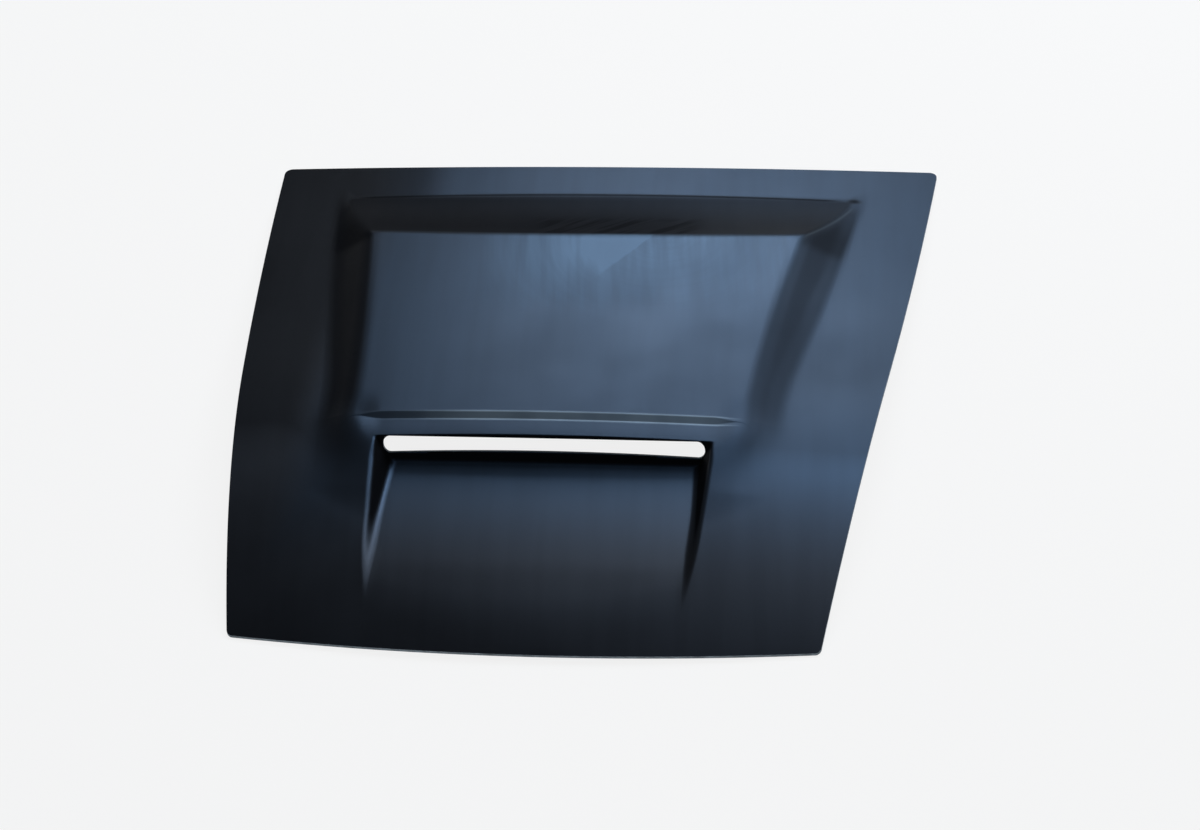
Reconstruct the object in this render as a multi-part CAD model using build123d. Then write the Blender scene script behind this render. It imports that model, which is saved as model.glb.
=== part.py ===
from build123d import *
from math import cos, degrees, radians, sin, sqrt, tan
import os

# Bonnet scoop: one glass-fibre moulding of even wall, lying on its four corners.
# X runs across the bonnet, Y runs to the rear and Z is up. Lengths are in millimetres and angles in degrees.
# Places along Y are measured from midway between the front and rear corners. Heights and depths are
# measured on the centre line, from the outer face of the sheet.

# Panel outline, seen from above
rear_width = 800.0
front_width = 628.0
corner_length = 751.0
rear_bow = 15.0
front_bow = 18.0
side_bow = 9.0
corner_radius = 10.0

# Sheet: straight towards the rear, rounded down towards the front, and crowned across
wall = 3.0
crown_radius = 4500.0
rear_fall = 5.63
nose_start = -20.0
nose_radius = 800.0

# Raised block: a sloping rear face, a plateau, a small step down to a brow, and rails that fall away forwards
# beside the recess, all between sloping sides
block_rear_foot = 303.0
block_rear_edge = 195.0
block_rear_height = 23.0
block_rear_width = 512.0
block_rear_slope = 34.0
block_front_height = 13.0
block_front_width = 440.0
block_front_slope = 27.0
plateau_bulge = 2.0
step_edge = -108.0
step_height = 3.5
step_run = 6.0
brow_tilt = 1.5
rail_start = -140.0
rail_end = -225.0
rail_end_height = 7.0
rail_end_fall = 45.0

# Recess in front of the block: a back wall, drafted side walls and a straight floor that runs out to the front
recess_back_foot = -152.0
recess_back_depth = 20.5
recess_back_width = 336.0
recess_back_lean = 19.0
recess_front = -330.0
recess_splay = 2.5
recess_draft = 31.0

# Air slot with round ends, bowed like the brow, its middle placed up the back wall from the recess floor
slot_length = 353.0
slot_height = 16.5
slot_rise = 22.0
slot_bow = 4.0

# Rounding on the outer face
block_crease_radius = 14.0
block_edge_radius = 11.0
block_foot_radius = 24.0
recess_corner_radius = 8.0
recess_foot_radius = 8.0
recess_runout_radius = 400.0
lip_radius = 2.5

# Room that the rough forms have past the finished panel, and below it, before they are trimmed
margin = 60.0
rough_depth = 160.0

half_length = corner_length / 2
crown_axis = Axis((0, 0, -crown_radius), (0, 1, 0))
crown_angle = degrees((rear_width / 2 + side_bow + margin) / crown_radius)
nose_centre = Vector(nose_start, 0) - Vector(sin(radians(rear_fall)), cos(radians(rear_fall))) * nose_radius
back_lean = Vector(sin(radians(recess_back_lean)), cos(radians(recess_back_lean)))


def on_sheet(y, height=0.0):
    """Point (y, z) of the centre-line profile, at a height above the sheet."""
    if y > nose_start:
        return Vector(y, (nose_start - y) * tan(radians(rear_fall)) + height)
    return Vector(y, nose_centre.Y + sqrt(nose_radius**2 - (y - nose_centre.X) ** 2) + height)


def redrawn(edge):
    """The same edge as a plain line or arc."""
    if edge.geom_type == GeomType.LINE:
        return Line(edge @ 0, edge @ 1)
    return ThreePointArc(edge @ 0, edge @ 0.5, edge @ 1)


def centre_face(edges, grow, corner=None, radius=0.0):
    """A closed side profile in the centre plane, with one corner rounded, grown all round by an even amount."""
    face = Face(Wire(edges))
    if corner:
        face = face.fillet_2d(radius, [face.vertices().sort_by_distance(corner)[0]])
    if grow:
        outline = offset(face, grow, kind=Kind.INTERSECTION).face().outer_wire()
        face = Face(Wire([redrawn(edge) for edge in outline.edges()]))
    return Plane.YZ * face


def crowned(face):
    """A side profile turned about the crown axis, to both sides of the centre line."""
    return revolve(face.rotate(crown_axis, -crown_angle), crown_axis, 2 * crown_angle)


def between_sides(solid, point, outward):
    """What lies between a slanting plane on the right and its mirror image on the left."""
    reach = 4 * rear_width
    inside = Box(reach, reach, reach, align=(Align.CENTER, Align.CENTER, Align.MAX))
    right = Plane(origin=point, z_dir=outward) * inside
    return solid & right & right.mirror(Plane.YZ)


def facing(solid, direction, least):
    """Faces of a solid whose outward normal leans along a direction."""
    return solid.faces().filter_by(lambda face: face.normal_at().dot(Vector(direction)) > least)


def sheet_form(inset):
    """Thick body under the sheet, its upper face set in by the inset."""
    rear = half_length + margin
    front = -rear
    middle = (nose_start + front) / 2
    edges = [
        Line(on_sheet(rear), on_sheet(nose_start)),
        ThreePointArc(on_sheet(nose_start), on_sheet(middle), on_sheet(front)),
    ]
    edges += Polyline(on_sheet(front), (front, -rough_depth), (rear, -rough_depth), on_sheet(rear)).edges()
    return crowned(centre_face(edges, -inset))


def side_section(edge, inset):
    """Section across the block, between its sloping sides, at a point of the line that their upper edges follow."""
    forward = (block_rear_edge - edge.X) / (block_rear_edge - step_edge)
    half = (block_rear_width + (block_front_width - block_rear_width) * forward) / 2
    height = edge.Y - half**2 / (2 * crown_radius)
    run = 1 / tan(radians(block_rear_slope))
    run += (1 / tan(radians(block_front_slope)) - run) * forward
    half -= inset * sqrt(1 + run**2)
    top = Vector(half - run * margin, height + margin)
    bottom = Vector(half + run * rough_depth, height - rough_depth)
    corners = [bottom, top, Vector(-top.X, top.Y), Vector(-bottom.X, bottom.Y)]
    return Face(Wire(Polyline([(corner.X, edge.X, corner.Y) for corner in corners], close=True).edges()))


def block_form(inset):
    """Raised block down into the sheet, with its side edges rounded, set in by the inset."""
    foot = on_sheet(block_rear_foot)
    rear = on_sheet(block_rear_edge, block_rear_height)
    front = on_sheet(step_edge, block_front_height)
    start = foot + (foot - rear) * 0.5
    crest = (rear + front) * 0.5 + Vector(0, plateau_bulge)
    brink = front + Vector(-1, tan(radians(brow_tilt))) * (step_edge - rail_start)
    knee = on_sheet(rail_end, rail_end_height)
    end = knee - Vector(1, tan(radians(rail_end_fall))) * margin
    edges = [Line(start, rear), ThreePointArc(rear, crest, front), Line(front, brink)]
    edges += Polyline(brink, knee, end, (end.X, -rough_depth), (start.X, -rough_depth), start).edges()
    block = crowned(centre_face(edges, -inset, rear, block_crease_radius))

    behind = rear + (rear - front) * ((start.X - rear.X) / (rear.X - front.X))
    ahead = brink + (knee - brink) * ((end.X - brink.X) / (knee.X - brink.X))
    block = block & loft([side_section(edge, inset) for edge in (behind, brink, ahead)], ruled=True)

    sides = facing(block, (1, 0, 0), 0.1) + facing(block, (-1, 0, 0), 0.1)
    tops = (facing(block, (0, 0, 1), 0.6) - sides) - facing(block, (0, -1, 0), 0.4)
    return fillet(sides.edges() & tops.edges(), block_edge_radius - inset)


def brow_form(grow):
    """The space over the brow, in front of the step, open upwards, grown by an even amount."""
    front = on_sheet(step_edge, block_front_height)
    step_foot = front - Vector(step_run, step_height)
    top = front + Vector(step_run, step_height) * 4
    end = step_foot + Vector(-1, tan(radians(brow_tilt))) * 2 * margin
    edges = Polyline(top, step_foot, end, (end.X, top.Y), top).edges()
    return crowned(centre_face(edges, grow))


def recess_form(grow):
    """The space of the recess, open upwards, with its corners and floor rounded, grown by an even amount."""
    foot = on_sheet(recess_back_foot, -recess_back_depth)
    front = on_sheet(recess_front)
    ahead = Vector(nose_centre.Y - front.Y, front.X - nose_centre.X).normalized()
    end = front + ahead * margin
    back = foot + back_lean * rough_depth
    edges = [Line(back, foot), Line(foot, front), Line(front, end)]
    edges += Polyline(end, (end.X, back.Y), back).edges()
    space = extrude(centre_face(edges, grow, front, recess_runout_radius), rear_width / 2, both=True)

    foot_end = Vector(recess_back_width / 2, foot.X, foot.Y)
    foot_line = Vector(-tan(radians(recess_splay)), 1, (foot.Y - front.Y) / (foot.X - front.X))
    outward = foot_line.cross(Vector(tan(radians(recess_draft)), 0, 1)).normalized()
    space = between_sides(space, foot_end + outward * grow, outward)

    sides = facing(space, (1, 0, 0), 0.5) + facing(space, (-1, 0, 0), 0.5)
    space = fillet(facing(space, (0, 1, 0), 0.5).edges() & sides.edges(), recess_corner_radius + grow)
    floor = facing(space, (0, 0, -1), 0.9)
    walls = (space.faces() - floor) - facing(space, (0, -1, 0), 0.9)
    return fillet(floor.edges() & walls.edges(), recess_foot_radius + grow)


def moulded_form(inset):
    """Sheet, block, step and recess as one thick body, its upper face set in by the inset."""
    sheet = sheet_form(inset)
    block = block_form(inset)
    form = sheet + block
    foot = new_edges(sheet, block, combined=form).filter_by(lambda edge: edge.center().Y > rail_end)
    form = fillet(foot, block_foot_radius + inset)
    form = form - brow_form(inset)

    recess = recess_form(inset)
    hollowed = form - recess
    if inset:
        return hollowed
    return fillet(new_edges(form, recess, combined=hollowed), lip_radius)


def slot_form():
    """Cutter for the air slot, square to the back wall of the recess."""
    middle = on_sheet(recess_back_foot, -recess_back_depth) + back_lean * slot_rise
    across_wall = Plane((0, middle.X, middle.Y), x_dir=(1, 0, 0), z_dir=(0, -back_lean.Y, back_lean.X))
    reach = (slot_length - slot_height) / 2
    bow = ThreePointArc((-reach, -slot_bow), (0, 0), (reach, -slot_bow))
    return extrude(across_wall * SlotArc(bow, slot_height), 4 * wall, both=True)


def outline_form():
    """The panel outline as an upright prism that stops short of the undersides of the rough forms."""
    rear_right = Vector(rear_width / 2, half_length)
    front_right = Vector(front_width / 2, -half_length)
    rear_left = Vector(-rear_right.X, half_length)
    front_left = Vector(-front_right.X, -half_length)
    side_middle = (rear_right.X + front_right.X) / 2 + side_bow
    edges = [
        ThreePointArc(rear_left, (0, half_length - rear_bow), rear_right),
        ThreePointArc(rear_right, (side_middle, 0), front_right),
        ThreePointArc(front_right, (0, -half_length - front_bow), front_left),
        ThreePointArc(front_left, (-side_middle, 0), rear_left),
    ]
    outline = Face(Wire(edges))
    outline = outline.fillet_2d(corner_radius, outline.vertices())
    return extrude(outline, rough_depth - margin, both=True)


# The wall is what is left between the outer form and the same form set in by the wall
moulding = (moulded_form(0.0) - moulded_form(wall)) & outline_form()
moulding = moulding - slot_form()

# Stand the panel on its corners, with the middle of its footprint at the origin
box = moulding.bounding_box()
moulding = Pos(0, -box.center().Y, -box.min.Z) * moulding

os.makedirs("parts", exist_ok=True)
export_step(moulding, "parts/scoop_moulding.step")
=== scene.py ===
from math import atan, cos, pi, radians, sin, tan

import bmesh
import bpy
import numpy as np
from bpy.props import FloatProperty, FloatVectorProperty, PointerProperty
from mathutils import Euler, Matrix, Vector


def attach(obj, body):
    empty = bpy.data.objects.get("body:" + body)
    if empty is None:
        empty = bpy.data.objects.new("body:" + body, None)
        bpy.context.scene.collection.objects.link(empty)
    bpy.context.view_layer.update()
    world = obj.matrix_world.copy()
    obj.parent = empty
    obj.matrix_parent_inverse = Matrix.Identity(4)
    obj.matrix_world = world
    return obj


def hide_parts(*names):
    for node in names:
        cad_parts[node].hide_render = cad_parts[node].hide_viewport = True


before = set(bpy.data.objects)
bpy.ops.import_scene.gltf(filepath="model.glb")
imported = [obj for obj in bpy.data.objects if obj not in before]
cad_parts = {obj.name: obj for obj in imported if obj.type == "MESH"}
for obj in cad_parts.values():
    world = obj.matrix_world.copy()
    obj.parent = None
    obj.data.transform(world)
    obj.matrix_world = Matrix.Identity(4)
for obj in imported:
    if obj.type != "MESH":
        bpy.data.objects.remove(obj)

bl_info = {
    "name": "Bonnet scoop",
    "version": (1, 0, 0),
    "blender": (4, 5, 0),
    "location": "View3D > Sidebar > Scoop",
    "description": "Builds a low moulded bonnet scoop in satin black gelcoat on a pale studio floor",
    "category": "Object",
}

MM = 0.001
MOULDING_NODE = "scoop_moulding"

# Material slots of the moulding, after the gelcoat in slot 0
LAMINATE = 1
EDGE = 2

# Edges that turn by more than this stay sharp
SHARP_ANGLE = radians(42)

# Sockets of a Mix node, for values and for colours
VALUE_A, VALUE_B, VALUE_MIXED = 2, 3, 0
COLOUR_A, COLOUR_B, COLOUR_MIXED = 6, 7, 2

# Soft lights: name, degrees round from the rear, degrees up, width and height in metres, power in watts
LIGHTS = (
    ("right light", 40, 40, 1.5, 1.5, 78.0),
    ("back light", -3, 40, 1.5, 1.5, 58.0),
    ("top light", 20, 60, 1.9, 1.5, 31.0),
    ("overhead light", 45, 80, 1.5, 1.5, 10.0),
    ("low light", 30, 20, 1.5, 1.5, 10.0),
    ("front light", 180, 25, 3.0, 1.5, 15.0),
)
LIGHT_DISTANCE = 4.0
LIGHT_COLOUR = (0.82, 0.91, 1.0)
WORLD_COLOUR = (1.0, 0.93, 0.85, 1.0)
WORLD_STRENGTH = 0.06

# Floor: half its size in metres, and the share of it that the camera sees in its own colour, without shadow
FLOOR_REACH = 60.0
FLOOR_PLAIN = 0.9


def length(label, size, words):
    """A length property, given in millimetres."""
    return FloatProperty(name=label, description=words, default=size * MM, unit="LENGTH", precision=4)


def angle(label, degrees, words):
    """An angle property, given in degrees."""
    return FloatProperty(
        name=label, description=words, default=radians(degrees), subtype="ANGLE", unit="ROTATION")


def share(label, part, words):
    """A share property, from 0 to 1."""
    return FloatProperty(name=label, description=words, default=part, subtype="FACTOR", min=0.0, max=1.0)


def linear(code):
    """Linear colour of an sRGB hex code."""
    parts = [int(code[place:place + 2], 16) / 255 for place in (1, 3, 5)]
    return [part / 12.92 if part <= 0.04045 else ((part + 0.055) / 1.055) ** 2.4 for part in parts]


def colour(label, code, words):
    """A colour property, given as an sRGB hex code."""
    return FloatVectorProperty(
        name=label, description=words, default=linear(code), subtype="COLOR", size=3, min=0.0, max=1.0)


class ScoopSizes(bpy.types.PropertyGroup):
    """Sizes of the moulding. Places along Y are measured from midway between the front and rear corners."""

    rear_width: length("Rear width", 800, "Width between the rear corners")
    front_width: length("Front width", 628, "Width between the front corners")
    corner_length: length("Corner length", 751, "Length between the front and rear corners")
    rear_bow: length("Rear bow", 15, "How far the rear edge bows inwards")
    front_bow: length("Front bow", 18, "How far the front edge bows outwards")
    side_bow: length("Side bow", 9, "How far each side edge bows outwards")
    corner_radius: length("Corner radius", 10, "Rounding of the rear corners, seen from above")
    front_corner_radius: length("Front corner radius", 5, "Rounding of the front corners, seen from above")

    wall: length("Wall", 3, "Thickness of the laminate")
    crown_radius: length("Crown radius", 4500, "Radius of the crown across the panel")
    rear_fall: angle("Rear fall", 5.63, "Slope of the straight rear part of the sheet")
    nose_start: length("Nose start", -20, "Where the sheet starts to round down towards the front")
    nose_radius: length("Nose radius", 800, "Radius of the rounded front part of the sheet")

    block_rear_foot: length("Block rear foot", 303, "Where the rear face of the block meets the sheet")
    block_rear_edge: length("Block rear edge", 195, "Where the rear face of the block meets the plateau")
    block_rear_bow: length("Block rear bow", 12, "How far the ends of the rear crease lie behind its middle")
    block_foot_bow: length("Block foot bow", 2, "How far the ends of the rear foot lie behind its middle")
    block_rear_height: length("Block rear height", 23, "Height of the plateau above the sheet at the rear")
    block_front_height: length("Block front height", 13, "Height of the plateau above the sheet at the step")
    block_rear_width: length("Block rear width", 512, "Width of the plateau at the rear")
    block_front_width: length("Block front width", 440, "Width of the plateau at the step")
    block_rear_slope: angle("Block rear slope", 34, "Slope of the side walls at the rear")
    block_front_slope: angle("Block front slope", 27, "Slope of the side walls at the step")
    rear_hollow: share("Rear hollow", 0.35, "Share of the rear face's height that it gains in a hollow curve")
    plateau_bulge: length("Plateau bulge", 2, "How far the plateau bulges between its rear edge and the step")
    step_edge: length("Step edge", -108, "Upper edge of the step")
    step_height: length("Step height", 2.8, "Height of the step")
    step_run: length("Step run", 8.5, "How far the step leans forward")
    step_border: length("Step border", 38, "How far inside the plateau's sides the step starts to die away")
    step_end: length("Step end", 8, "How far inside the plateau's sides the step has died away")
    brow_tilt: angle("Brow tilt", 1.5, "How far the brow tilts up from the step towards the front")
    brow_front: length("Brow front", -141, "Front edge of the brow, over the back wall of the recess")
    rail_front: length("Rail front", -250, "Where the rails on both sides of the recess have died away")

    recess_back_foot: length("Recess back foot", -152, "Where the back wall of the recess meets its floor")
    recess_back_depth: length("Recess back depth", 20.5, "Depth of the floor below the sheet, at its back")
    recess_back_width: length("Recess back width", 336, "Width of the recess floor at the back wall")
    recess_front: length("Recess front", -330, "Where the floor runs out into the sheet")
    recess_splay: angle("Recess splay", 2.5, "How far the recess opens towards the front, on each side")
    recess_draft: angle("Recess draft", 31, "Lean of the side walls of the recess from upright")
    recess_lean: angle("Recess lean", 19, "Lean of the back wall of the recess from upright")

    slot_length: length("Slot length", 353, "Length of the air slot over its round ends")
    slot_height: length("Slot height", 16.5, "Height of the air slot along the back wall")
    slot_rise: length("Slot rise", 22, "Middle of the air slot, up the back wall from the floor")
    slot_bow: length("Slot bow", 2.2, "How far the ends of the air slot lie below its middle")
    slot_flare: share("Slot flare", 0.22, "Share by which the air slot is higher at its ends")

    crease_radius: length("Crease radius", 22, "Rounding between the rear face and the plateau")
    edge_radius: length("Edge radius", 28, "Rounding between the plateau and the side walls")
    foot_radius: length("Foot radius", 58, "Rounding at the foot of the side walls")
    rear_foot_radius: length("Rear foot radius", 14, "Rounding at the foot of the rear face")
    step_radius: length("Step radius", 3, "Rounding of both edges of the step")
    lip_radius: length("Lip radius", 2.5, "Rounding of the lip over the back wall of the recess")
    side_lip_radius: length("Side lip radius", 8.5, "Rounding of the lip along the sides of the recess")
    recess_radius: length("Recess radius", 8, "Rounding inside the recess")
    recess_front_radius: length("Recess front radius", 16, "Rounding inside the recess towards its front")
    runout_radius: length("Run-out radius", 400, "Rounding where the floor runs out")


class ScoopFinish(bpy.types.PropertyGroup):
    """Colours of the moulding."""

    gelcoat: colour("Gelcoat", "#0F1013", "Pigmented polyester gelcoat on the outer face")
    # Cool tint of the reflections, painted in place of cool light
    sheen: colour("Sheen", "#98C8FF", "Cool tint of the satin sheen on the gelcoat")
    # Tint for the painted dim light towards the front and the left edge
    dim_sheen: colour("Dim sheen", "#A4B2CA", "Tint of the sheen towards the front and the left edge")
    # Colour of the wax haze, also used for painted sheen on the rear of the plateau
    haze_and_sheen: colour("Haze", "#465A6E", "Thin haze of release wax left by wiping")
    # Pale colour of the painted highlights along the step and on the right rear ridge
    painted_highlight: colour("Painted highlight", "#84929C", "Wax and dust left along the step")
    laminate: colour("Laminate", "#2E3133", "Resin of the bare laminate underneath")
    strand: colour("Strand", "#565C5F", "Glass strands that show through the bare laminate")
    edge: colour("Trimmed edge", "#B4C0C9", "Sanded laminate at the trimmed edges")


class ScoopStage(bpy.types.PropertyGroup):
    """Studio round the moulding."""

    floor: colour("Floor", "#F8F8F8", "Plain pale floor")
    lens: FloatProperty(name="Lens", description="Focal length of the camera", default=90.0, unit="CAMERA")
    azimuth: angle("Azimuth", 12.70, "Direction of the camera round the object, from the front")
    elevation: angle("Elevation", 44.81, "Height of the camera above the floor, as an angle")
    roll: angle("Roll", -7.97, "Turn of the camera about its line of sight")
    distance: length("Distance", 3308, "Distance from the camera to its aim")
    aim: FloatVectorProperty(
        name="Aim", description="Point that the camera looks at", default=(0.0498, -0.0566, 0.03),
        subtype="TRANSLATION", unit="LENGTH", size=3)


def soft_low(first, second, blend):
    """The lower of two heights, with the corner between them rounded."""
    overlap = np.maximum(blend - np.abs(first - second), 0.0) / blend
    return np.minimum(first, second) - overlap**2 * blend / 4


def soft_high(first, second, blend):
    """The higher of two heights, with the corner between them rounded."""
    return -soft_low(-first, -second, blend)


def blend_of(radius, turn):
    """Blend in height that gives about a rounding radius where a face turns by an angle."""
    return radius * tan(turn / 2) * tan(turn)


def ease(value, start, end):
    """Smooth change from 0 at the start to 1 at the end, in either direction."""
    part = np.clip((value - start) / (end - start), 0.0, 1.0)
    return part * part * (3 - 2 * part)


def steeper(slope, start, end):
    """Smooth change from 0 to 1 as a slope grows from one angle to another, in degrees."""
    return ease(slope, tan(radians(start)), tan(radians(end)))


def fine_line(distance, width):
    """1 on a line, fading to nothing over about twice the width."""
    return np.exp(-((distance / width) ** 2))


class MouldingForm:
    """The outer face of the moulding as a height above the floor plane of its profile."""

    # Rails beside the recess: how long they hold their height, and how much flatter their sides become
    rail_hold = 1.6
    rail_spread = 1.5

    # Smallest part of a rounding that is kept where a form dies away
    least_blend = 0.02

    # Strengths of the fainter marks, against 1 for a full one
    front_end_mark = 0.2
    left_end_mark = 0.1
    film_mark = 0.38
    ridge_mark = 0.14

    def __init__(self, sizes):
        self.sizes = sizes
        self.half_length = sizes.corner_length / 2
        self.nose_y = sizes.nose_start - sin(sizes.rear_fall) * sizes.nose_radius
        self.nose_z = -cos(sizes.rear_fall) * sizes.nose_radius
        self.foot_z = float(self.sheet_line(sizes.recess_back_foot)) - sizes.recess_back_depth
        self.rear_z = float(self.sheet_line(sizes.block_rear_edge)) + sizes.block_rear_height
        self.front_z = float(self.sheet_line(sizes.step_edge)) + sizes.block_front_height
        self.rear_depth = sizes.block_rear_foot - sizes.block_rear_edge
        self.rear_foot_z = float(self.sheet_line(sizes.block_rear_foot))
        self.rear_slope = (self.rear_z - self.rear_foot_z) / self.rear_depth
        self.step_foot = sizes.step_edge - sizes.step_run
        self.recess_turn = pi / 2 - sizes.recess_draft

    def sheet_line(self, y):
        """Height of the sheet on the centre line."""
        sizes = self.sizes
        straight = (sizes.nose_start - y) * tan(sizes.rear_fall)
        rounded = self.nose_z + np.sqrt(np.maximum(sizes.nose_radius**2 - (y - self.nose_y) ** 2, 0.0))
        return np.where(y > sizes.nose_start, straight, rounded)

    def crowned(self, line, x):
        """Height beside the centre line, from the height on it."""
        radius = self.sizes.crown_radius
        return np.sqrt((radius + line) ** 2 - x**2) - radius

    def forward(self, y):
        """How far forward a place is, from 0 at the rear edge of the plateau to 1 at the step."""
        return (self.sizes.block_rear_edge - y) / (self.sizes.block_rear_edge - self.sizes.step_edge)

    def plateau_half(self, y):
        """Half the width of the plateau."""
        sizes = self.sizes
        change = sizes.block_front_width - sizes.block_rear_width
        return (sizes.block_rear_width + change * self.forward(y)) / 2

    def wall_run(self, y):
        """Sideways run of the side walls for each unit of height."""
        rear_run = 1 / tan(self.sizes.block_rear_slope)
        return rear_run + (1 / tan(self.sizes.block_front_slope) - rear_run) * self.forward(y)

    def recess_half(self, y):
        """Half the width of the recess floor."""
        sizes = self.sizes
        return sizes.recess_back_width / 2 + (sizes.recess_back_foot - y) * tan(sizes.recess_splay)

    def unbowed(self, x, y):
        """Places along Y as they would be if the rear face of the block ran straight across."""
        sizes = self.sizes
        back = np.clip((y - sizes.block_rear_edge) / self.rear_depth, 0.0, 1.0)
        bow = sizes.block_rear_bow + (sizes.block_foot_bow - sizes.block_rear_bow) * back
        return y - bow * (2 * x / sizes.block_rear_width) ** 2

    def block_line(self, y):
        """Height of the block's centre line, straight from its rear edge to the step."""
        return self.rear_z + (self.front_z - self.rear_z) * self.forward(y)

    def block_top(self, x, y):
        """Height of the top of the block: its plateau and its hollow rear face."""
        sizes = self.sizes
        part = (sizes.block_rear_foot - self.unbowed(x, y)) / self.rear_depth
        hollow = sizes.rear_hollow * (np.maximum(part, 0.0) ** 2 - part)
        rear_face = self.rear_foot_z + self.rear_slope * self.rear_depth * (part + hollow)
        forward = self.forward(y)
        plateau = self.block_line(y) + 4 * sizes.plateau_bulge * forward * (1 - forward)
        crease_turn = atan(self.rear_slope * (1 + sizes.rear_hollow))
        return self.crowned(soft_low(rear_face, plateau, blend_of(sizes.crease_radius, crease_turn)), x)

    def side_wall(self, x, y):
        """Height of the side wall of the block, which runs on past the step and sinks with the rail."""
        sizes = self.sizes
        half = self.plateau_half(y)
        part = np.clip((y - sizes.rail_front) / (sizes.step_edge - sizes.rail_front), 0.0, 1.0)
        sinking = self.sheet_line(y) + sizes.block_front_height * ease(part**self.rail_hold, 0.0, 1.0)
        edge = np.where(y > sizes.step_edge, self.block_line(y), sinking)
        run = self.wall_run(y) * (1 + self.rail_spread * ease(y, sizes.step_edge, sizes.rail_front))
        return edge - half**2 / (2 * sizes.crown_radius) - (x - half) / run

    def recess_face(self, x, y):
        """Height of the recess: its floor, side walls and back wall."""
        sizes = self.sizes
        front = float(self.sheet_line(sizes.recess_front))
        floor_slope = (front - self.foot_z) / (sizes.recess_back_foot - sizes.recess_front)
        floor = self.foot_z - (y - sizes.recess_back_foot) * floor_slope
        sides = floor + (x - self.recess_half(y)) / tan(sizes.recess_draft)
        back = self.foot_z + (y - sizes.recess_back_foot) / tan(sizes.recess_lean)
        walls = soft_high(sides, back, blend_of(sizes.recess_radius, self.recess_turn) / 2)

        # The floor runs out into the sheet, and the foot of the side walls grows softer on the way
        out_slope = (self.nose_y - sizes.recess_front) / (front - self.nose_z)
        runout = front + (y - sizes.recess_front) * out_slope
        floor = soft_low(floor, runout, blend_of(sizes.runout_radius, atan(out_slope) + atan(floor_slope)))
        softer = ease(y, sizes.recess_back_foot - 50 * MM, sizes.recess_front + 40 * MM)
        radius = sizes.recess_radius + (sizes.recess_front_radius - sizes.recess_radius) * softer
        return soft_high(floor, walls, blend_of(radius, self.recess_turn))

    def heights(self, x, y):
        """Height of the outer face at each place."""
        sizes = self.sizes
        x = np.abs(x)
        sheet_line = self.sheet_line(y)
        sheet = self.crowned(sheet_line, x)
        side = self.side_wall(x, y)
        edge_blend = blend_of(sizes.edge_radius, sizes.block_rear_slope)
        side_blend = blend_of(sizes.foot_radius, sizes.block_front_slope)
        rear_blend = blend_of(sizes.rear_foot_radius, atan(self.rear_slope))

        # Towards its ends the step dies away: the plateau sinks by half its height and the brow rises by half
        half = self.plateau_half(y)
        end_shift = sizes.step_height / 2 * ease(x, half - sizes.step_border, half - sizes.step_end)

        # Raised block: rear face and plateau between the side walls
        top = self.block_top(x, y) - end_shift * ease(y, sizes.step_edge + sizes.step_border, sizes.step_edge)
        block = soft_low(top, side, edge_blend)
        foot_blend = rear_blend + (side_blend - rear_blend) * ease(top - side, -9 * MM, 9 * MM)
        raised = soft_high(sheet, block, foot_blend)

        # Brow in front of the step, and rails beside the recess that die away forwards between the side walls
        brow_z = self.front_z - sizes.step_height
        brow = brow_z + (self.step_foot - y) * tan(sizes.brow_tilt)
        lip_z = brow_z + (self.step_foot - sizes.brow_front) * tan(sizes.brow_tilt)
        rail_rise = lip_z - float(self.sheet_line(sizes.brow_front))
        rail = sheet_line + rail_rise * ease(y, sizes.rail_front, sizes.brow_front + 15 * MM)
        fade = ease(y, sizes.block_rear_edge, sizes.step_edge + 20 * MM)
        rise = np.maximum((soft_low(brow, rail, 2 * MM) - sheet_line) * fade, 0.0)
        near_step = ease(y, self.step_foot - sizes.step_border, self.step_foot) * fade
        brow = self.crowned(sheet_line + rise, x) + end_shift * near_step
        brow = soft_low(brow, side, edge_blend)
        low = soft_high(sheet, brow, side_blend * np.clip(rise / (4 * MM), self.least_blend, 1.0))

        # Step from the plateau down to the brow
        steep = sizes.step_height / sizes.step_run
        riser = self.crowned(self.front_z - (sizes.step_edge - y) * steep, x)
        step_left = np.clip((raised - low) / sizes.step_height, self.least_blend, 1.0)
        step_blend = blend_of(sizes.step_radius, atan(steep)) * step_left
        stepped = soft_high(low, soft_low(raised, riser, step_blend), step_blend)

        # Recess, with a lip that is softer along its sides
        beside = ease(y, sizes.brow_front - 5 * MM, sizes.brow_front - 30 * MM)
        beside = beside * ease(y, sizes.recess_front + 10 * MM, sizes.recess_front + 120 * MM)
        lip = sizes.lip_radius + (sizes.side_lip_radius - sizes.lip_radius) * beside
        return soft_low(stepped, self.recess_face(x, y), blend_of(lip, self.recess_turn))

    def marks(self, x, y):
        """Marks for the gelcoat: plateau, slopes, recess walls, painted highlights on the step and ridge, and
        painted shade along the rear foot.
        """
        sizes = self.sizes
        across = np.abs(x)
        half = self.plateau_half(y)
        unbowed = self.unbowed(x, y)
        wall_gap = self.side_wall(across, y) - self.block_top(across, y)

        # Plateau, from the step to the rear crease
        before = ease(unbowed, sizes.block_rear_edge + 6 * MM, sizes.block_rear_edge - 4 * MM)
        behind = ease(y, sizes.step_edge - 1 * MM, sizes.step_edge + 1 * MM)
        plateau = ease(wall_gap, -1 * MM, 4 * MM) * before * behind

        # Slope of the outer face, apart from the fall of the sheet
        near = 1 * MM
        rise = self.heights(x, y + near) - self.heights(x, y - near)
        rise = (rise - self.sheet_line(y + near) + self.sheet_line(y - near)) / (2 * near)
        lean = (self.heights(x + near, y) - self.heights(x - near, y)) / (2 * near)
        steep = np.hypot(rise, lean)

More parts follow.
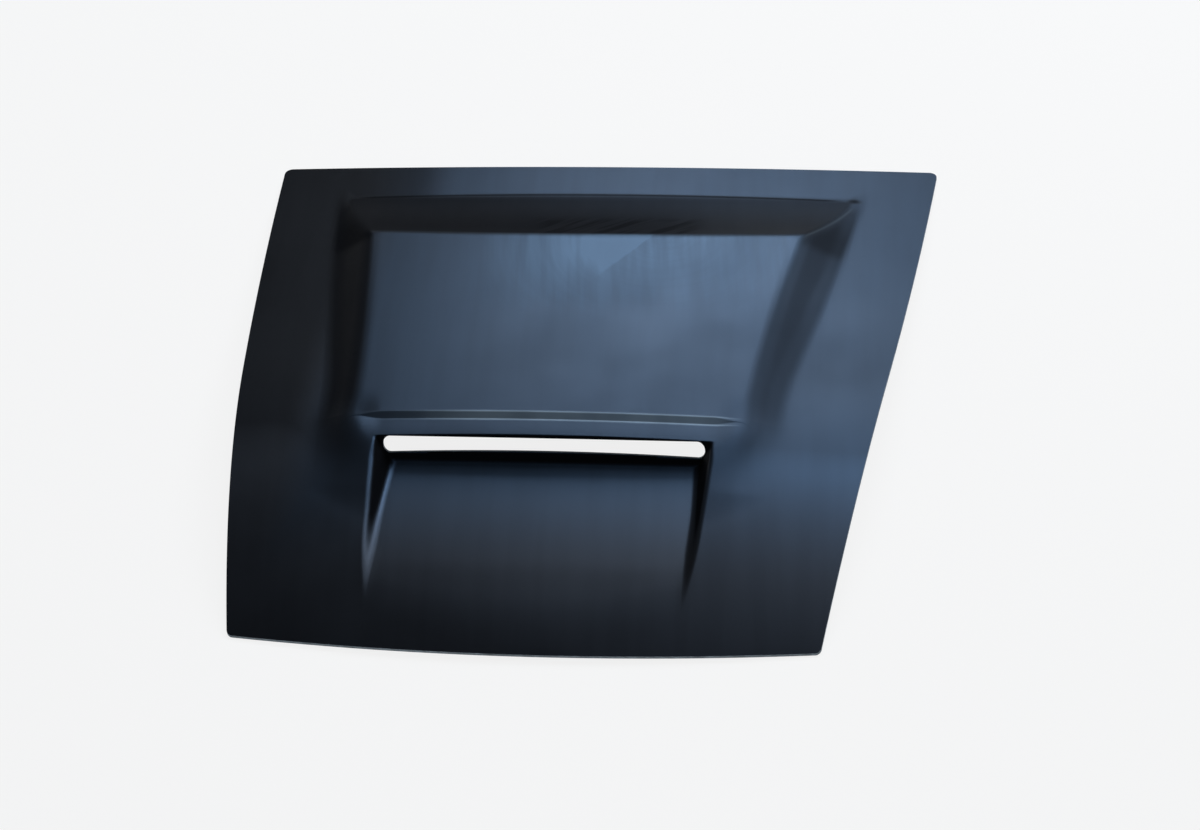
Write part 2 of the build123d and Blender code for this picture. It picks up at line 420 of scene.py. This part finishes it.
        # Side walls, fainter at their front ends, rear face, and walls of the recess
        outside = ease(across, half - 12 * MM, half + 2 * MM)
        front_end = ease(y, sizes.step_edge - 60 * MM, sizes.step_edge + 40 * MM)
        front_end = self.front_end_mark + (1 - self.front_end_mark) * front_end
        walls = steeper(steep, 4, 18) * np.maximum(behind, outside) * front_end
        rear = ease(unbowed, sizes.block_rear_edge - 6 * MM, sizes.block_rear_edge + 8 * MM)
        rear = rear * steeper(-rise, 2, 8)
        recess = steeper(steep, 38, 54)

        # Painted highlights: two lines and a paler film on the step, less of it at the left, and a line on
        # the block's right rear ridge
        lines = fine_line(y - sizes.step_edge, 1.3 * MM) + fine_line(y - self.step_foot + 1 * MM, 1.3 * MM)
        film = ease(y, sizes.step_edge + 1 * MM, sizes.step_edge - 1 * MM)
        film = film * ease(y, self.step_foot - 2 * MM, self.step_foot)
        span = ease(across, half - 3 * MM, half - sizes.step_border)
        along = self.left_end_mark + (1 - self.left_end_mark) * ease(x, -185 * MM, -40 * MM)
        painted_highlight = np.maximum(lines, self.film_mark * film) * span * along
        ridge = fine_line(wall_gap, 1.2 * MM) * ease(x, 0.0, 100 * MM)
        ridge = ridge * ease(y, sizes.block_rear_edge, sizes.block_rear_edge + 20 * MM)
        ridge = ridge * ease(y, sizes.block_rear_foot - 5 * MM, sizes.block_rear_foot - 25 * MM)
        painted_highlight = np.maximum(painted_highlight, self.ridge_mark * ridge)

        # Painted shade: a dark line along the rear foot, and a dark spot at its right end
        rear_half = sizes.block_rear_width / 2
        from_foot = unbowed - sizes.block_rear_foot
        foot_shade = fine_line(from_foot, 2.4 * MM) * ease(across, rear_half + 45 * MM, rear_half + 20 * MM)
        corner_shade = fine_line(x - rear_half - 50 * MM, 8 * MM) * fine_line(from_foot, 5 * MM)
        return {
            "plateau": plateau,
            "slope": np.maximum(walls, rear),
            "recess": recess,
            "painted_highlight": painted_highlight,
            "foot_shade": np.maximum(foot_shade, corner_shade),
        }

    def inner_heights(self, x, y):
        """Height of the inner face: how low a ball as big as the wall reaches, rolled over the outer face."""
        wall = self.sizes.wall
        lowest = self.heights(x, y) - wall
        for reach in np.linspace(0.15, 0.97, 6):
            drop = wall * np.sqrt(1 - reach**2)
            for heading in np.arange(12) * pi / 6:
                beside = self.heights(x + wall * reach * cos(heading), y + wall * reach * sin(heading))
                lowest = np.minimum(lowest, beside - drop)
        return lowest

    def edge_half(self, y):
        """Half the width of the panel."""
        sizes = self.sizes
        part = np.clip(y / sizes.corner_length + 0.5, 0.0, 1.0)
        straight = sizes.front_width + (sizes.rear_width - sizes.front_width) * part
        return straight / 2 + 4 * sizes.side_bow * part * (1 - part)

    def row_places(self):
        """Places of the mesh's rows along Y, closer together at the step, lip, creases and ends."""
        sizes = self.sizes
        end = self.half_length
        corner = sizes.corner_radius
        lip = sizes.brow_front
        back = sizes.recess_back_foot
        step = sizes.step_edge
        step_foot = self.step_foot
        crease = sizes.block_rear_edge
        foot = sizes.block_rear_foot

        # Stops along Y, and the gap between rows at each in millimetres
        stops = [
            (-end, 1.2), (-end + corner, 1.8), (-end + 25 * MM, 5),
            (back - 18 * MM, 5), (back - 6 * MM, 1.2),
            (lip - 4 * MM, 1.0), (lip - 2 * MM, 0.5), (lip + 3 * MM, 0.5), (lip + 8 * MM, 2),
            (step_foot - 4 * MM, 1.5), (step_foot - 2 * MM, 0.4),
            (step + 2 * MM, 0.4), (step + 4 * MM, 1.5), (step + 20 * MM, 5),
            (crease - 15 * MM, 5), (crease - 8 * MM, 1.6), (crease + 14 * MM, 1.6), (crease + 22 * MM, 4),
            (foot - 10 * MM, 4), (foot - 6 * MM, 1.4), (foot + 14 * MM, 1.4), (foot + 20 * MM, 4),
            (end - 25 * MM, 5), (end - corner, 1.8), (end, 1.2),
        ]
        places = [stops[0][0]]
        for (start, gap), (stop, next_gap) in zip(stops, stops[1:]):
            count = max(1, round((stop - start) / ((gap + next_gap) / 2 * MM)))
            places += [start + (stop - start) * number / count for number in range(1, count + 1)]
        return np.array(places)

    def column_places(self, y):
        """Places of the mesh's columns in X, for each row, from the centre line out to the right edge."""
        sizes = self.sizes
        edge = self.edge_half(y)

        # Foot and top of the recess walls, drawn together where the recess runs out
        recess_length = sizes.recess_back_foot - sizes.recess_front
        wall_reach = np.clip((y - sizes.recess_front) / recess_length, 0.0, 1.0)
        recess = self.recess_half(np.minimum(y, sizes.recess_back_foot))
        recess_top = recess + 30 * MM * tan(sizes.recess_draft) * wall_reach

        # Crease and foot of the side walls, drawn together where the block dies away
        rear, front = sizes.block_rear_height, sizes.block_front_height
        level = np.interp(y, [sizes.step_edge, sizes.block_rear_edge], [front, rear])
        ends = [sizes.rail_front, sizes.step_edge, sizes.block_rear_edge, sizes.block_rear_foot]
        lift = np.interp(y, ends, [0.0, front, rear, 0.0])
        foot = self.plateau_half(y) + level * self.wall_run(y)
        crease = np.minimum(foot - lift * self.wall_run(y), foot)
        held = self.plateau_half(np.clip(y, -self.half_length, sizes.block_rear_edge))
        crease = np.where(y > sizes.block_rear_edge, np.maximum(crease, held), crease)
        foot = np.minimum(foot, edge - 40 * MM)
        crease = np.minimum(crease, foot - 1 * MM)

        # Lines along the panel, and the number of columns from each to the next
        lines = [
            (np.zeros_like(y), 22), (recess - 9 * MM, 18), (recess_top + 5 * MM, 6),
            (np.maximum(crease - 9 * MM, recess_top + 12 * MM), 26), (foot + 12 * MM, 14),
            (edge - sizes.corner_radius, 6), (edge, 0),
        ]
        columns = [lines[0][0]]
        for (start, count), (stop, _) in zip(lines, lines[1:]):
            columns += [start + (stop - start) * number / count for number in range(1, count + 1)]
        return np.array(columns)

    def plan(self):
        """Plan places (x, y) of the whole mesh, one row of columns for each place along Y."""
        sizes = self.sizes
        y = self.row_places()
        right = self.column_places(y).T
        x = np.hstack([-right[:, :0:-1], right])
        y = np.repeat(y[:, None], x.shape[1], axis=1)

        # Round the corners: squares about each corner's centre become quarter circles
        edge = self.edge_half(y)
        radius = np.where(y > 0, sizes.corner_radius, sizes.front_corner_radius)
        across = np.clip((np.abs(x) - (edge - radius)) / radius, 0.0, 1.0)
        along = np.clip((np.abs(y) - (self.half_length - radius)) / radius, 0.0, 1.0)
        spread = np.maximum(across, along) / np.maximum(np.hypot(across, along), 1e-9)
        corner = (across > 0) & (along > 0)
        x = np.where(corner, np.sign(x) * (edge - radius + across * spread * radius), x)
        y = np.where(corner, np.sign(y) * (self.half_length - radius + along * spread * radius), y)

        # Bow the rear edge inwards and the front edge outwards
        arch = 1 - np.minimum((x / edge) ** 2, 1.0)
        y = y - sizes.rear_bow * arch * ease(y, self.half_length - 60 * MM, self.half_length)
        y = y - sizes.front_bow * arch * ease(-y, self.half_length - 60 * MM, self.half_length)
        return x, y


def add_node(tree, kind, inputs=None, **settings):
    """Add a node with its settings, and with each input set to a value or linked to another node's socket."""
    made = tree.nodes.new(kind)
    for name, value in settings.items():
        setattr(made, name, value)
    for name, value in (inputs or {}).items():
        if isinstance(value, bpy.types.NodeSocket):
            tree.links.new(value, made.inputs[name])
        else:
            made.inputs[name].default_value = value
    return made


def new_material(name):
    """A material with an empty node tree."""
    material = bpy.data.materials.new(name)
    material.use_nodes = True
    material.node_tree.nodes.clear()
    return material


def rgba(values):
    """A colour with full alpha."""
    return (*values, 1.0)


def field(tree, *parts, operation="MULTIPLY"):
    """Values and smooth ramps over the surface, put together one after the other by an operation.

    A ramp is a value, the start and end between which it changes, and its levels there, 0 and 1 unless given.
    """
    result = None
    for part in parts:
        if isinstance(part, tuple):
            value, start, end, low, high = (*part, 0.0, 1.0)[:5]
            ramp = add_node(
                tree, "ShaderNodeMapRange",
                {"Value": value, "From Min": start, "From Max": end, "To Min": low, "To Max": high},
                interpolation_type="SMOOTHSTEP")
            part = ramp.outputs["Result"]
        if result is None:
            result = part
        else:
            both = add_node(tree, "ShaderNodeMath", {0: result, 1: part}, operation=operation)
            result = both.outputs["Value"]
    return result


def streaks(tree, place, width, run, turn, detail=2.0):
    """Noise drawn out into streaks of a width and a run, turned about the upright."""
    turned = add_node(tree, "ShaderNodeMapping",
                      {"Vector": place, "Rotation": (0, 0, turn), "Scale": (width, run, run)},
                      vector_type="TEXTURE")
    noise = add_node(tree, "ShaderNodeTexNoise",
                     {"Vector": turned.outputs["Vector"], "Scale": 1.0, "Detail": detail, "Roughness": 0.6})
    return noise.outputs["Fac"]


def arc_streaks(tree, x, y, centre, width):
    """Noise drawn out into arcs of a width about a centre."""
    away_x = field(tree, x, centre[0], operation="SUBTRACT")
    away_y = field(tree, y, centre[1], operation="SUBTRACT")
    square = field(tree, field(tree, away_x, away_x), field(tree, away_y, away_y), operation="ADD")
    radius = field(tree, field(tree, square, 0.5, operation="POWER"), 1 / width)
    turn = field(tree, away_y, away_x, operation="ARCTAN2")
    place = add_node(tree, "ShaderNodeCombineXYZ", {"X": radius, "Y": turn})
    noise = add_node(tree, "ShaderNodeTexNoise",
                     {"Vector": place.outputs["Vector"], "Scale": 1.0, "Detail": 2.0, "Roughness": 0.6})
    return noise.outputs["Fac"]


def gelcoat_material(finish):
    """Black polyester gelcoat, moulded against a waxed and polished mould."""
    # To the eye: satin and cool, its sheen painted brighter or darker by place as light and shade, low on the
    # slopes, with a thin haze of wiped wax
    material = new_material("black polyester gelcoat")
    tree = material.node_tree
    place = add_node(tree, "ShaderNodeTexCoord").outputs["Object"]
    split = add_node(tree, "ShaderNodeSeparateXYZ", {"Vector": place})
    x, y = split.outputs["X"], split.outputs["Y"]
    plateau, slope, recess, painted_highlight, foot_shade = [
        add_node(tree, "ShaderNodeAttribute", attribute_name=name).outputs["Fac"]
        for name in ("plateau", "slope", "recess", "painted_highlight", "foot_shade")]

    # Haze on the rear half of the plateau, wiped to and fro and in arcs, which there also paints the sheen
    strokes = streaks(tree, place, 16 * MM, 190 * MM, radians(8))
    arcs = arc_streaks(tree, x, y, (95 * MM, 210 * MM), 9 * MM)
    haze_and_sheen = field(tree, (x, -160 * MM, 10 * MM), (x, 60 * MM, 230 * MM, 1.0, 0.3), (y, 30 * MM, 190 * MM),
                 (strokes, 0.3, 0.7, 0.5, 1.0), (arcs, 0.35, 0.65, 0.92, 1.04))

    # Brighter patch with a slanting edge, added to the haze
    slant = field(tree, field(tree, x, -0.82), field(tree, y, 0.57), operation="ADD")
    patch = field(tree, (slant, 48 * MM, 53 * MM), (x, -25 * MM, 30 * MM), (y, 110 * MM, 190 * MM, 0.0, 0.75))
    haze_and_sheen = field(tree, field(tree, haze_and_sheen, patch, operation="ADD"), plateau)

    # A few specks of dust, one to a cell of 34 mm, and the painted highlights along the step broken up
    cells = add_node(tree, "ShaderNodeTexVoronoi", {"Vector": place, "Scale": 1 / (34 * MM)})
    chance = add_node(tree, "ShaderNodeSeparateColor", {"Color": cells.outputs["Color"]}).outputs["Red"]
    specks = field(tree, (cells.outputs["Distance"], 0.012, 0.03, 1.0, 0.0), (chance, 0.7, 1.0, 0.0, 0.7))
    haze_and_sheen = field(tree, haze_and_sheen, specks, operation="MAXIMUM")
    broken = streaks(tree, place, 60 * MM, 60 * MM, 0.0)
    painted_highlight = field(tree, painted_highlight, (broken, 0.3, 0.7, 0.6, 0.9))
    hazy = add_node(tree, "ShaderNodeMix",
                    {"Factor": haze_and_sheen, COLOUR_A: rgba(finish.gelcoat), COLOUR_B: rgba(finish.haze_and_sheen)},
                    data_type="RGBA").outputs[COLOUR_MIXED]
    base = add_node(tree, "ShaderNodeMix",
                    {"Factor": painted_highlight, COLOUR_A: hazy, COLOUR_B: rgba(finish.painted_highlight)},
                    data_type="RGBA").outputs[COLOUR_MIXED]

    # Roughness in patches of about 160 mm, higher on the slopes of the block
    noise = add_node(tree, "ShaderNodeTexNoise",
                     {"Vector": place, "Scale": 1 / (160 * MM), "Detail": 3.0, "Roughness": 0.55})
    patches = noise.outputs["Fac"]
    rough = field(tree, (patches, 0.3, 0.7, 0.36, 0.43), field(tree, slope, 0.12), operation="ADD")

    # Sheen of the slopes, kept low as painted shade and lowest at the left, with a slanting smear on the
    # middle of the rear one
    smear = streaks(tree, place, 9 * MM, 90 * MM, radians(-48), 1.0)
    smear = field(tree, (smear, 0.4, 0.6, 0.35, 1.0), (x, -20 * MM, -80 * MM), (x, 90 * MM, 150 * MM),
                  (y, 232 * MM, 262 * MM), (y, 212 * MM, 202 * MM), operation="MAXIMUM")
    slope_sheen_and_shade = field(tree, (x, -230 * MM, 240 * MM, 0.06, 0.22), (y, 190 * MM, 212 * MM, 1.0, 0.5),
                 (y, 225 * MM, 295 * MM, 1.0, 2.0), smear)

    # Sheen of the level faces, with painted light and shade: less at the left edge, the plateau's front and
    # the recess floor
    shifted = field(tree, x, (y, 290 * MM, 320 * MM, 0.0, 70 * MM), operation="SUBTRACT")
    painted_front_shade = field(tree, (x, -170 * MM, -60 * MM, 0.0, 0.24), (y, 170 * MM, -30 * MM))
    front_unshaded = field(tree, 1.0, painted_front_shade, operation="SUBTRACT")
    flat_sheen_and_light = field(tree, (shifted, -300 * MM, -235 * MM, 0.16, 0.5), front_unshaded)
    flat_sheen_and_light = field(tree, flat_sheen_and_light, (y, -60 * MM, -170 * MM, 0.0, 0.58), operation="MAXIMUM")
    across = field(tree, x, 0.0, operation="ABSOLUTE")
    shaded = field(tree, (across, 185 * MM, 165 * MM), (y, -205 * MM, -285 * MM, 0.0, 0.26),
                   (y, -335 * MM, -285 * MM))
    flat_sheen_and_light = field(tree, flat_sheen_and_light, field(tree, 1.0, shaded, operation="SUBTRACT"))

    # Sheen of the whole face, with long faint streaks, and hardly any along the rear foot and on the recess
    # walls, as painted shade
    sheen = add_node(tree, "ShaderNodeMix", {"Factor": slope, VALUE_A: flat_sheen_and_light, VALUE_B: slope_sheen_and_shade},
                     data_type="FLOAT").outputs[VALUE_MIXED]
    rubbed = streaks(tree, place, 24 * MM, 300 * MM, radians(4))
    level = field(tree, sheen, (foot_shade, 0.0, 1.0, 1.0, 0.15), (recess, 0.0, 1.0, 1.0, 0.1),
                  (rubbed, 0.35, 0.65, 0.95, 1.03))
    # Painted dim light: the sheen turns greyer towards the front and the left edge
    dim = field(tree, (y, -130 * MM, -310 * MM), (x, -210 * MM, -300 * MM), operation="MAXIMUM")
    tint = add_node(tree, "ShaderNodeMix",
                    {"Factor": dim, COLOUR_A: rgba(finish.sheen), COLOUR_B: rgba(finish.dim_sheen)},
                    data_type="RGBA").outputs[COLOUR_MIXED]

    # Orange peel, in truth 1 to 2 mm across, drawn at 5 mm so that it shows
    peel = add_node(tree, "ShaderNodeTexNoise",
                    {"Vector": place, "Scale": 1 / (5 * MM), "Detail": 2.0, "Roughness": 0.5})
    bump = add_node(tree, "ShaderNodeBump",
                    {"Height": peel.outputs["Fac"], "Strength": 0.12, "Distance": 0.2 * MM}).outputs["Normal"]
    satin = add_node(tree, "ShaderNodeBsdfPrincipled",
                     {"Base Color": base, "Roughness": rough, "Specular IOR Level": level,
                      "Specular Tint": tint, "Normal": bump, "IOR": 1.55, "Metallic": 0.0})

    # Share of plain diffuse shading on the rear slope and the walls of the recess, as painted shade
    painted_shade_share = field(tree, slope, (y, 198 * MM, 214 * MM, 0.0, 0.5), (y, 225 * MM, 298 * MM, 1.0, 0.4),
                 (x, 60 * MM, 200 * MM, 1.0, 0.1))
    painted_shade_share = field(tree, painted_shade_share, field(tree, recess, 0.85), operation="MAXIMUM")
    plain = add_node(tree, "ShaderNodeBsdfDiffuse", {"Color": base, "Normal": bump})
    mixed = add_node(tree, "ShaderNodeMixShader",
                     {"Fac": painted_shade_share, 1: satin.outputs["BSDF"], 2: plain.outputs["BSDF"]})
    add_node(tree, "ShaderNodeOutputMaterial", {"Surface": mixed.outputs["Shader"]})
    return material


def mottled_material(name, grain, dark, pale, roughness, relief=None):
    """Two colours mixed in spots of a grain, with the spots raised where a relief up to 1 is given."""
    material = new_material(name)
    tree = material.node_tree
    place = add_node(tree, "ShaderNodeTexCoord").outputs["Object"]
    spots = add_node(tree, "ShaderNodeTexNoise",
                     {"Vector": place, "Scale": 1 / grain, "Detail": 3.0, "Roughness": 0.6}).outputs["Fac"]
    mixed = add_node(tree, "ShaderNodeMix",
                     {"Factor": spots, COLOUR_A: rgba(dark), COLOUR_B: rgba(pale)}, data_type="RGBA")
    inputs = {"Base Color": mixed.outputs[COLOUR_MIXED], "IOR": 1.55, "Roughness": roughness, "Metallic": 0.0}
    if relief:
        bump = add_node(tree, "ShaderNodeBump", {"Height": spots, "Strength": relief, "Distance": 0.5 * MM})
        inputs["Normal"] = bump.outputs["Normal"]
    shader = add_node(tree, "ShaderNodeBsdfPrincipled", inputs)
    add_node(tree, "ShaderNodeOutputMaterial", {"Surface": shader.outputs["BSDF"]})
    return material


def laminate_material(finish):
    """Bare chopped-strand laminate underneath, rolled out by hand."""
    # To the eye: dark, uneven resin with paler glass strands, which clump at about 6 mm
    return mottled_material(
        "bare glass-fibre laminate", 6 * MM, finish.laminate, finish.strand, roughness=0.5, relief=0.5)


def edge_material(finish):
    """Edge of the laminate, cut and sanded."""
    # To the eye: dull and paler than the gelcoat, broken by darker resin every 12 mm or so
    return mottled_material("sanded laminate edge", 12 * MM, finish.laminate, finish.edge, roughness=0.7)


def link_mesh(name, bm):
    """An object made from a bmesh, linked into the scene."""
    mesh = bpy.data.meshes.new(name)
    bm.to_mesh(mesh)
    bm.free()
    made = bpy.data.objects.new(name, mesh)
    bpy.context.scene.collection.objects.link(made)
    return made


class SCOOP_OT_moulding(bpy.types.Operator):
    """Model the moulding: sheet, raised block, step, recess and air slot"""

    bl_idname = "scoop.moulding"
    bl_label = "Build Moulding"

    def execute(self, context):
        sizes = context.scene.scoop_sizes
        finish = context.scene.scoop_finish
        form = MouldingForm(sizes)
        moulding, shift_y, shift_z = self.closed_skin(form)
        for maker in (gelcoat_material, laminate_material, edge_material):
            moulding.data.materials.append(maker(finish))
        self.cut_slot(context, moulding, self.slot_cutter(sizes, form, shift_y, shift_z))
        moulding.data.shade_smooth()
        moulding.data.set_sharp_from_angle(angle=SHARP_ANGLE)

        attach(moulding, "root")
        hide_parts(MOULDING_NODE)
        return {"FINISHED"}

    def closed_skin(self, form):
        """The two faces and the rim between them, and the shifts that centre and stand them on the floor."""
        x, y = form.plan()
        outer = form.heights(x, y)
        inner = form.inner_heights(x, y)
        marks = form.marks(x, y)
        shift_y = -(y.min() + y.max()) / 2
        shift_z = -inner.min()
        rows, columns = x.shape
        count = rows * columns

        # Two equal grids, with a layer for each mark
        bm = bmesh.new()
        for name in marks:
            bm.verts.layers.float.new(name)
        layers = {name: bm.verts.layers.float[name] for name in marks}
        bmesh.ops.create_grid(bm, x_segments=columns - 1, y_segments=rows - 1, size=1.0)
        copied = bmesh.ops.duplicate(bm, geom=bm.verts[:] + bm.edges[:] + bm.faces[:])["geom"]
        inner_faces = [item for item in copied if isinstance(item, bmesh.types.BMFace)]
        if len(bm.verts) != 2 * count:
            raise RuntimeError("The grids of the two faces have the wrong number of vertices")

        # Each vertex moves from its row and column of the grid to its place on the outer or the inner face
        for number, v in enumerate(bm.verts):
            row = round((v.co.y + 1) / 2 * (rows - 1))
            column = round((v.co.x + 1) / 2 * (columns - 1))
            face = outer if number < count else inner
            v.co = (x[row, column], y[row, column] + shift_y, face[row, column] + shift_z)
            if number < count:
                for name, layer in layers.items():
                    v[layer] = marks[name][row, column]

        bmesh.ops.reverse_faces(bm, faces=inner_faces)
        rim = bmesh.ops.bridge_loops(bm, edges=[edge for edge in bm.edges if edge.is_boundary])["faces"]
        for face in inner_faces:
            face.material_index = LAMINATE
        for face in rim:
            face.material_index = EDGE
        bmesh.ops.recalc_face_normals(bm, faces=bm.faces[:])
        return link_mesh("moulding", bm), shift_y, shift_z

    def slot_cutter(self, sizes, form, shift_y, shift_z):
        """Bar with round ends that lies square across the back wall."""
        segments = 46
        bm = bmesh.new()
        ring = bmesh.ops.create_circle(bm, cap_ends=True, segments=segments, radius=sizes.slot_height / 2)
        reach = (sizes.slot_length - sizes.slot_height) / 2
        bmesh.ops.rotate(bm, verts=ring["verts"], matrix=Matrix.Rotation(pi / segments, 3, "Z"))
        for v in ring["verts"]:
            v.co.x += reach if v.co.x > 0 else -reach
        long_edges = [edge for edge in bm.edges if edge.calc_length() > reach]
        bmesh.ops.subdivide_edges(bm, edges=long_edges, cuts=24)
        for v in bm.verts:
            outward = (v.co.x / reach) ** 2
            v.co.y = v.co.y * (1 + sizes.slot_flare * outward) - sizes.slot_bow * outward

        # Thicken the slot to both sides of the wall, and stand it on the back wall of the recess
        made = bmesh.ops.extrude_face_region(bm, geom=bm.faces[:])["geom"]
        far_side = [item for item in made if isinstance(item, bmesh.types.BMVert)]
        bmesh.ops.translate(bm, verts=far_side, vec=(0, 0, 8 * sizes.wall))
        bmesh.ops.translate(bm, verts=bm.verts[:], vec=(0, 0, -4 * sizes.wall))
        bmesh.ops.recalc_face_normals(bm, faces=bm.faces[:])
        for face in bm.faces:
            face.material_index = EDGE
        lean = Vector((0, sin(sizes.recess_lean), cos(sizes.recess_lean)))
        facing = Vector((0, -cos(sizes.recess_lean), sin(sizes.recess_lean)))
        middle = Vector((0, sizes.recess_back_foot, form.foot_z)) + lean * sizes.slot_rise
        middle += Vector((0, shift_y, shift_z))
        turn = Matrix((Vector((1, 0, 0)), lean, facing)).transposed().to_4x4()
        bmesh.ops.transform(bm, matrix=Matrix.Translation(middle) @ turn, verts=bm.verts[:])
        return link_mesh("slot cutter", bm)

    def cut_slot(self, context, moulding, cutter):
        """Cut the air slot into the mesh of the moulding, with sanded edges, and remove the cutter."""
        # The cut faces take their material from the cutter's slots
        for _ in moulding.data.materials:
            cutter.data.materials.append(moulding.data.materials[EDGE])
        cut = moulding.modifiers.new("air slot", "BOOLEAN")
        cut.operation = "DIFFERENCE"
        cut.solver = "EXACT"
        cut.object = cutter
        graph = context.evaluated_depsgraph_get()
        mesh = bpy.data.meshes.new_from_object(moulding.evaluated_get(graph))
        if len(mesh.vertices) in (0, len(moulding.data.vertices)):
            raise RuntimeError("The air slot could not be cut")
        moulding.modifiers.clear()
        moulding.data = mesh
        mesh.name = "moulding"
        bpy.data.objects.remove(cutter)


class SCOOP_OT_stage(bpy.types.Operator):
    """Set up the floor, the soft studio light and the camera"""

    bl_idname = "scoop.stage"
    bl_label = "Set Up Stage"

    def execute(self, context):
        scene = context.scene
        stage = scene.scoop_stage
        self.pale_floor(stage)

        world = bpy.data.worlds.new("studio")
        world.use_nodes = True
        background = world.node_tree.nodes["Background"]
        background.inputs["Color"].default_value = WORLD_COLOUR
        background.inputs["Strength"].default_value = WORLD_STRENGTH
        scene.world = world
        for light in LIGHTS:
            self.soft_light(scene, *light)

        around = Vector((sin(stage.azimuth) * cos(stage.elevation),
                         -cos(stage.azimuth) * cos(stage.elevation), sin(stage.elevation)))
        camera = bpy.data.objects.new("camera", bpy.data.cameras.new("camera"))
        camera.data.lens = stage.lens
        camera.data.sensor_width = 36.0
        camera.data.sensor_fit = "HORIZONTAL"
        camera.data.clip_end = 200.0
        camera.location = Vector(stage.aim) + around * stage.distance
        turn = around.to_track_quat("Z", "Y") @ Euler((0, 0, stage.roll)).to_quaternion()
        camera.rotation_euler = turn.to_euler()
        scene.collection.objects.link(camera)
        scene.camera = camera

        scene.view_settings.view_transform = "Standard"
        return {"FINISHED"}

    def pale_floor(self, stage):
        """Plain floor that takes light and shadow, and shows mostly its own colour to the camera."""
        bm = bmesh.new()
        bmesh.ops.create_grid(bm, x_segments=1, y_segments=1, size=FLOOR_REACH)
        floor = link_mesh("floor", bm)
        material = new_material("pale floor")
        tree = material.node_tree
        lit = add_node(tree, "ShaderNodeBsdfDiffuse", {"Color": rgba(stage.floor)})
        path = add_node(tree, "ShaderNodeLightPath").outputs
        seen = field(tree, path["Is Camera Ray"], path["Is Glossy Ray"], path["Is Transmission Ray"],
                     operation="MAXIMUM")
        plain = add_node(tree, "ShaderNodeEmission", {"Color": rgba(stage.floor), "Strength": 1.0})
        shader = add_node(tree, "ShaderNodeMixShader",
                          {"Fac": field(tree, seen, FLOOR_PLAIN), 1: lit.outputs["BSDF"],
                           2: plain.outputs["Emission"]})
        add_node(tree, "ShaderNodeOutputMaterial", {"Surface": shader.outputs["Shader"]})
        floor.data.materials.append(material)

    def soft_light(self, scene, name, around, above, width, height, power):
        """A soft rectangular light aimed at the origin, placed by its angles round from the rear and up."""
        lamp = bpy.data.lights.new(name, "AREA")
        lamp.shape = "RECTANGLE"
        lamp.size = width
        lamp.size_y = height
        lamp.energy = power
        lamp.color = LIGHT_COLOUR
        made = bpy.data.objects.new(name, lamp)
        around, above = radians(around), radians(above)
        facing = Vector((sin(around) * cos(above), cos(around) * cos(above), sin(above)))
        made.location = facing * LIGHT_DISTANCE
        made.rotation_euler = facing.to_track_quat("Z", "Y").to_euler()
        scene.collection.objects.link(made)


class SCOOP_PT_panel(bpy.types.Panel):
    """Sizes, finish and stage of the bonnet scoop"""

    bl_idname = "SCOOP_PT_panel"
    bl_label = "Bonnet Scoop"
    bl_space_type = "VIEW_3D"
    bl_region_type = "UI"
    bl_category = "Scoop"

    def draw(self, context):
        layout = self.layout
        layout.operator(SCOOP_OT_moulding.bl_idname)
        layout.operator(SCOOP_OT_stage.bl_idname)
        for group in (context.scene.scoop_sizes, context.scene.scoop_finish, context.scene.scoop_stage):
            box = layout.box()
            for name in group.__annotations__:
                box.prop(group, name)


CLASSES = (ScoopSizes, ScoopFinish, ScoopStage, SCOOP_OT_moulding, SCOOP_OT_stage, SCOOP_PT_panel)


def register():
    """Register the classes and their properties."""
    for made in CLASSES:
        bpy.utils.register_class(made)
    bpy.types.Scene.scoop_sizes = PointerProperty(type=ScoopSizes)
    bpy.types.Scene.scoop_finish = PointerProperty(type=ScoopFinish)
    bpy.types.Scene.scoop_stage = PointerProperty(type=ScoopStage)


def unregister():
    """Remove the properties and the classes."""
    del bpy.types.Scene.scoop_stage
    del bpy.types.Scene.scoop_finish
    del bpy.types.Scene.scoop_sizes
    for made in reversed(CLASSES):
        bpy.utils.unregister_class(made)


def main():
    """Build the scoop and its stage."""
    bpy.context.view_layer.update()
    register()
    bpy.ops.scoop.moulding()
    bpy.ops.scoop.stage()


if __name__ == "__main__":
    main()
